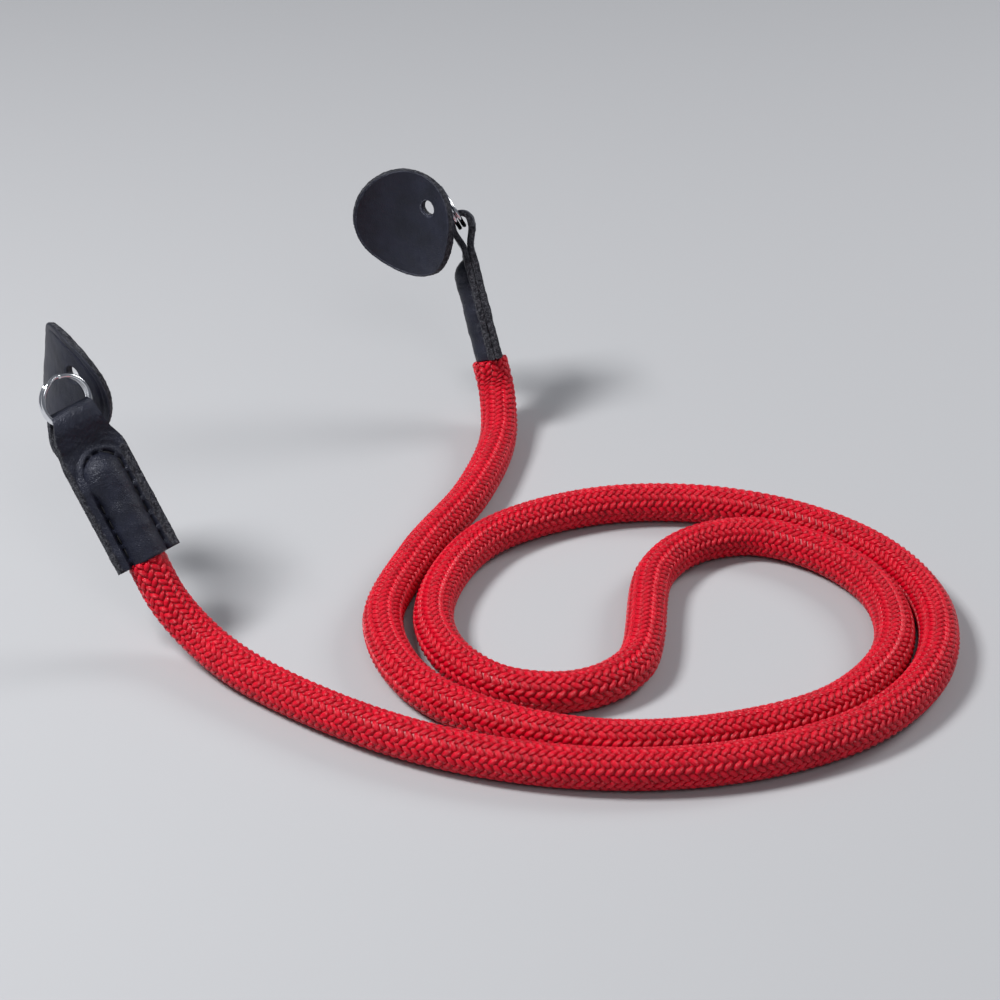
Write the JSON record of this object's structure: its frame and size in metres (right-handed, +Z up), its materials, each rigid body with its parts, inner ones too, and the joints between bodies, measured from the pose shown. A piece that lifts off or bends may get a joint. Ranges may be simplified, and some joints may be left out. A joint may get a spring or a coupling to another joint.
{
  "type": "camera neck strap",
  "caption": "Round braided rope neck strap with folded, sewn leather ends, split rings and leather guard discs, lying in loose loops.",
  "frame": {"origin": "the left lug point, the top of the left ring's wire, where the ring hangs on a lug", "axes": "+X from the left ring to the right ring, -Y towards the rope's loops, +Z up; the rope rests on a level 60 mm below the origin"},
  "size_m": [0.1584, 0.2073, 0.0667],
  "materials": {
    "rope": "glossy braided polyester",
    "ring_steel": "polished",
    "leather": "smooth satin grain with rough cut edges"
  },
  "bodies": {
    "root": {"rope": "rope", "split_ring_left": "ring_steel", "split_ring_right": "ring_steel", "leather_end_left": "leather", "leather_end_right": "leather", "protector_left": "leather", "protector_right": "leather"}
  },
  "joints": []
}
